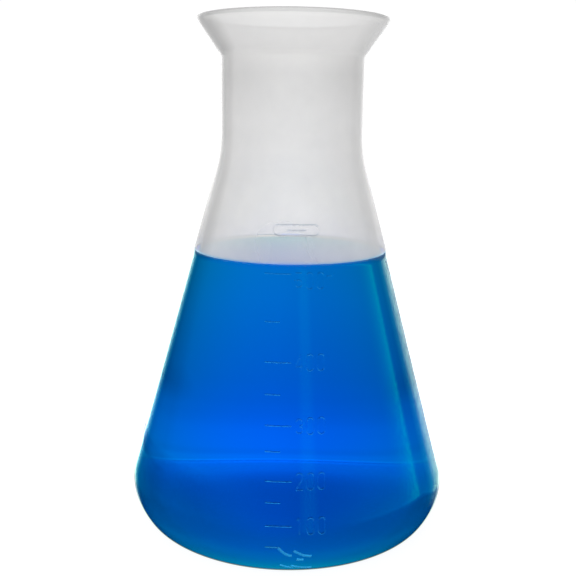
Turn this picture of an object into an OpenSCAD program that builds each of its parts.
// Plastic Erlenmeyer flask, nominal 500 ml, holding a blue liquid.
// One moulded vessel, the liquid in it, and the raised marks on its front (-Y) side.
// Millimetres. The axis is Z, and the foot stands on Z = 0.

/* [Body] */
// Largest outer diameter, at the heel
body_d = 107.5; // [106:0.5:110]
// Radius of the rounded heel
heel_r = 18; // [17:0.5:19]
// Slope of the cone, measured from the axis
cone_angle = 15.73; // [15.3:0.01:16.2]
// Blend radius where the cone meets the neck
shoulder_r = 48.4; // [30:0.1:55]

/* [Neck and lip] */
// Overall height
height = 166; // [164:0.5:170]
// Outer diameter of the straight neck
neck_d = 46.4; // [44:0.1:48]
// Height at which the lip starts to flare
flare_z = 154.4; // [152:0.1:156]
// Blend radius between neck and flare
flare_r = 4; // [2:0.5:6]
// Outer diameter of the lip
lip_d = 61.6; // [58:0.1:64]
// Height of the upright edge of the lip
lip_edge = 1.1; // [0.8:0.1:2]

/* [Wall and base] */
// Wall thickness
wall = 1.8; // [1.4:0.1:2]
// Radius between the foot ring and the heel
foot_r = 5.2; // [4:0.2:6]
// Inner radius of the flat foot ring
ring_r = 42; // [38:0.5:43]
// Rise of the hollow under the base
punt_h = 6; // [3:0.5:7]

/* [Liquid] */
// Level of the liquid
liquid_z = 91.4; // [60:0.1:110]

/* [Graduation] */
// Heights of the marks, from 500 down to 50 in steps of 50 millilitres
mark_z = [89.2, 75.3, 63.7, 54.5, 45.7, 38.4, 30.1, 24.1, 17.6, 11.1];
// Side position of the marks' common end
mark_x = -9.8; // [-12:0.1:-8]
// Length of a mark that has a number
long_mark = 8.4; // [7:0.1:9]
// Length of a mark between two numbers
short_mark = 5.1; // [4:0.1:6]
// Height of one graduation line
mark_h = 0.5; // [0.4:0.05:0.7]
// How far all raised marks stand out of the wall
relief = 0.4; // [0.2:0.05:0.6]

/* [Numerals] */
// Side position of the first digit's left edge
digit_x = -0.6; // [-1:0.1:1]
// Width of a digit
digit_w = 2.5; // [2.2:0.1:2.7]
// Height of a digit
digit_h = 5.2; // [4.8:0.1:5.6]
// Distance from one digit to the next
digit_pitch = 3.3; // [3.2:0.1:3.6]
// Width of the strokes that form a digit
stroke = 0.5; // [0.4:0.05:0.6]
// How far the number 500 sits below its mark
top_drop = 2; // [0:0.1:2.5]
// Height of the tall letter of the unit, ml
unit_h = 2.1; // [1.6:0.1:2.4]
// Width of the strokes of the unit
unit_stroke = 0.35; // [0.3:0.05:0.4]

/* [Plain mark] */
// Height of the middle of the plain oval mark
oval_z = 101.8; // [100:0.1:104]
// Width of the oval
oval_w = 14.4; // [10:0.1:16]
// Height of the oval
oval_h = 3.8; // [3:0.1:4.5]

/* [Hidden] */
$fn = 128;

EPS = 1;                                    // overshoot of a cutting shape
body_r = body_d / 2;
neck_r = neck_d / 2;
lip_r = lip_d / 2;

// Centres of the arcs of the outer outline, as [radius, height].
// The foot arc runs into the heel arc where both slope 4 down to 3 across.
meet = [0.8, -0.6];
foot_c = [body_r - heel_r + (heel_r - foot_r) * meet[0], foot_r];
heel_c = foot_c - (heel_r - foot_r) * meet;
cone_top_z = heel_c[1] + heel_r * sin(cone_angle)
           + (heel_c[0] + heel_r * cos(cone_angle) - neck_r) / tan(cone_angle);
shoulder_c = [neck_r + shoulder_r, cone_top_z + shoulder_r * tan(cone_angle / 2)];
flare_angle = atan((lip_r - neck_r) / (height - lip_edge - flare_z));
flare_c = [neck_r + flare_r, flare_z - flare_r * tan(flare_angle / 2)];
punt_r = (pow(ring_r, 2) + pow(punt_h, 2)) / (2 * punt_h);
punt_c = [0, punt_h - punt_r];

// Marks: every second one is long and carries a number.
numbers = ["500", "400", "300", "200", "100"];
number_drop = [top_drop, 0, 0, 0, 0];
unit_x = digit_x + 2 * digit_pitch + digit_w + 0.5;
unit_bow = 0.55;                            // outer radius of the arches of the m
unit_low_h = 1.5;                           // height of the m
$line = stroke;                             // stroke width now in use

function polar(centre, r, angle) = centre + r * [cos(angle), sin(angle)];

// Radius of the outline's flare line at height z, moved inwards by inset.
function flare_line(z, inset) =
    lip_r + (z - height + lip_edge) * tan(flare_angle) - inset / cos(flare_angle);

// ---- Outline of revolution ------------------------------------------------

// Part of a disc between two angles less than 180 degrees apart.
module sector(centre, r, from, to) {
    reach = 2 * r;
    intersection() {
        translate(centre) circle(r);
        polygon([centre, polar(centre, reach, from), polar(centre, reach, (from + to) / 2),
                 polar(centre, reach, to)]);
    }
}

// Half outline of the filled flask, moved inwards by inset. The flare runs on above the lip.
module outline(inset) {
    top = height + EPS;
    difference() {
        union() {
            translate(foot_c) circle(foot_r - inset);
            intersection() {
                translate(heel_c) circle(heel_r - inset);
                polygon([heel_c - heel_r * meet, heel_c + heel_r * meet,
                         [body_d, foot_r], [body_d, body_d], [0, body_d]]);
            }
            polygon([
                [0, inset], [foot_c[0], inset], [foot_c[0], heel_c[1]],
                polar(heel_c, heel_r - inset, cone_angle),
                polar(shoulder_c, shoulder_r + inset, 180 + cone_angle), shoulder_c,
                polar(shoulder_c, shoulder_r + inset, 180),
                polar(flare_c, flare_r + inset, 180), flare_c,
                polar(flare_c, flare_r + inset, 180 - flare_angle),
                [flare_line(top, inset), top], [0, top]
            ]);
        }
        translate(shoulder_c) circle(shoulder_r + inset);
        translate(flare_c) circle(flare_r + inset);
        translate(punt_c) circle(punt_r + inset);
    }
}

// ---- Vessel and liquid ----------------------------------------------------

// One moulding: punted base, rounded heel, cone, neck and flared lip.
module vessel() {
    color([0.88, 0.89, 0.9, 0.45])
    difference() {
        rotate_extrude() difference() {
            outline(0);
            translate([lip_r, flare_z]) square([lip_d, lip_d]);
            translate([0, height]) square([lip_d, 2 * EPS]);
        }
        rotate_extrude() outline(wall);
    }
}

// The liquid fills the inside up to its level.
module liquid() {
    color([0, 0.36, 0.82])
    rotate_extrude() intersection() {
        outline(wall);
        square([body_d, liquid_z]);
    }
}

// ---- Raised marks ---------------------------------------------------------

// Gives a flat drawing in X and Z the shape of the wall's front.
module raise() {
    color([0.9, 0.92, 0.95])
    difference() {
        intersection() {
            rotate([90, 0, 0]) linear_extrude(body_d) children();
            rotate_extrude() outline(-relief);
        }
        rotate_extrude() outline(0);
    }
}

// Every second mark, starting with the given one.
module marks(first, length) {
    raise() for (i = [first : 2 : len(mark_z) - 1])
        translate([mark_x, mark_z[i] - mark_h / 2]) square([length, mark_h]);
}

module long_marks() { marks(0, long_mark); }

module short_marks() { marks(1, short_mark); }

// ---- Strokes --------------------------------------------------------------

// Straight stroke between the middles of its ends.
module bar(from, to) {
    d = to - from;
    translate(from) rotate(atan2(d[1], d[0])) translate([0, -$line / 2])
        square([norm(d), $line]);
}

// Curved stroke round a centre; r is its outer radius.
module arc(centre, r, from, to) {
    difference() {
        sector(centre, r, from, to);
        translate(centre) circle(r - $line);
    }
}

// Filled oval in a box w wide and h high, moved inwards by inset.
module slot(w, h, inset) {
    r = min(w, h) / 2;
    translate([r, r]) circle(r - inset);
    translate([w - r, h - r]) circle(r - inset);
    if (h > w) translate([inset, r]) square([w - 2 * inset, h - 2 * r]);
    else translate([r, inset]) square([w - 2 * r, h - 2 * inset]);
}

// Closed oval stroke.
module oval(w, h) {
    difference() {
        slot(w, h, 0);
        slot(w, h, $line);
    }
}

// ---- Digits, drawn from their lower left corner ---------------------------

w = digit_w;
h = digit_h;
edge = stroke / 2;                          // middle of a stroke on the digit's border
bowl = w / 2;                               // outer radius of the round strokes

module digit_0() { oval(w, h); }

module digit_1() {
    bar([w / 2, 0], [w / 2, h]);
    bar([w / 6, h - w / 3], [w / 2, h - edge]);
}

module digit_2() {
    arc([bowl, h - bowl], bowl, 0, 90);
    arc([bowl, h - bowl], bowl, 90, 180);
    bar([w - edge, h - bowl], [edge, edge]);
    bar([0, edge], [w, edge]);
}

module digit_3() {
    half = (h + stroke) / 2;
    difference() {
        for (z = [0, h - half]) translate([0, z]) oval(w, half);
        translate([-EPS, half * 0.35]) square([bowl + EPS, h - half * 0.7]);
    }
}

module digit_4() {
    stem = w * 0.72;
    beam = h * 0.3;
    bar([stem, 0], [stem, h]);
    bar([0, beam], [w, beam]);
    bar([edge, beam], [stem, h - edge]);
}

module digit_5() {
    belly = h * 0.6;
    difference() {
        oval(w, belly);
        translate([-EPS, belly * 0.3]) square([bowl + EPS, belly]);
    }
    bar([0, belly - edge], [bowl, belly - edge]);
    bar([edge, belly - stroke], [edge, h]);
    bar([0, h - edge], [w, h - edge]);
}

module digit(c) {
    if (c == "0") digit_0();
    if (c == "1") digit_1();
    if (c == "2") digit_2();
    if (c == "3") digit_3();
    if (c == "4") digit_4();
    if (c == "5") digit_5();
}

// The numbers 500 to 100, each beside its long mark.
module numerals() {
    raise() for (n = [0 : len(numbers) - 1]) for (k = [0 : 2])
        translate([digit_x + k * digit_pitch, mark_z[2 * n] - h / 2 - number_drop[n]])
            digit(numbers[n][k]);
}

// The unit of the scale, ml, beside the number 500.
module unit_mark() {
    $line = unit_stroke;
    arch_z = unit_low_h - unit_bow;
    step = 2 * unit_bow - unit_stroke;
    raise() translate([unit_x, mark_z[0] - top_drop]) {
        for (x = [0 : step : 2 * step])
            translate([x, 0]) square([unit_stroke, arch_z]);
        for (x = [0, step]) {
            arc([x + unit_bow, arch_z], unit_bow, 0, 90);
            arc([x + unit_bow, arch_z], unit_bow, 90, 180);
        }
        translate([3 * step, 0]) square([unit_stroke, unit_h]);
    }
}

// Plain oval with a bar in it, above the scale.
module oval_mark() {
    raise() {
        translate([-oval_w / 2, oval_z - oval_h / 2]) oval(oval_w, oval_h);
        bar([-oval_w / 5, oval_z], [oval_w / 5, oval_z]);
    }
}

vessel();
liquid();
long_marks();
short_marks();
numerals();
unit_mark();
oval_mark();
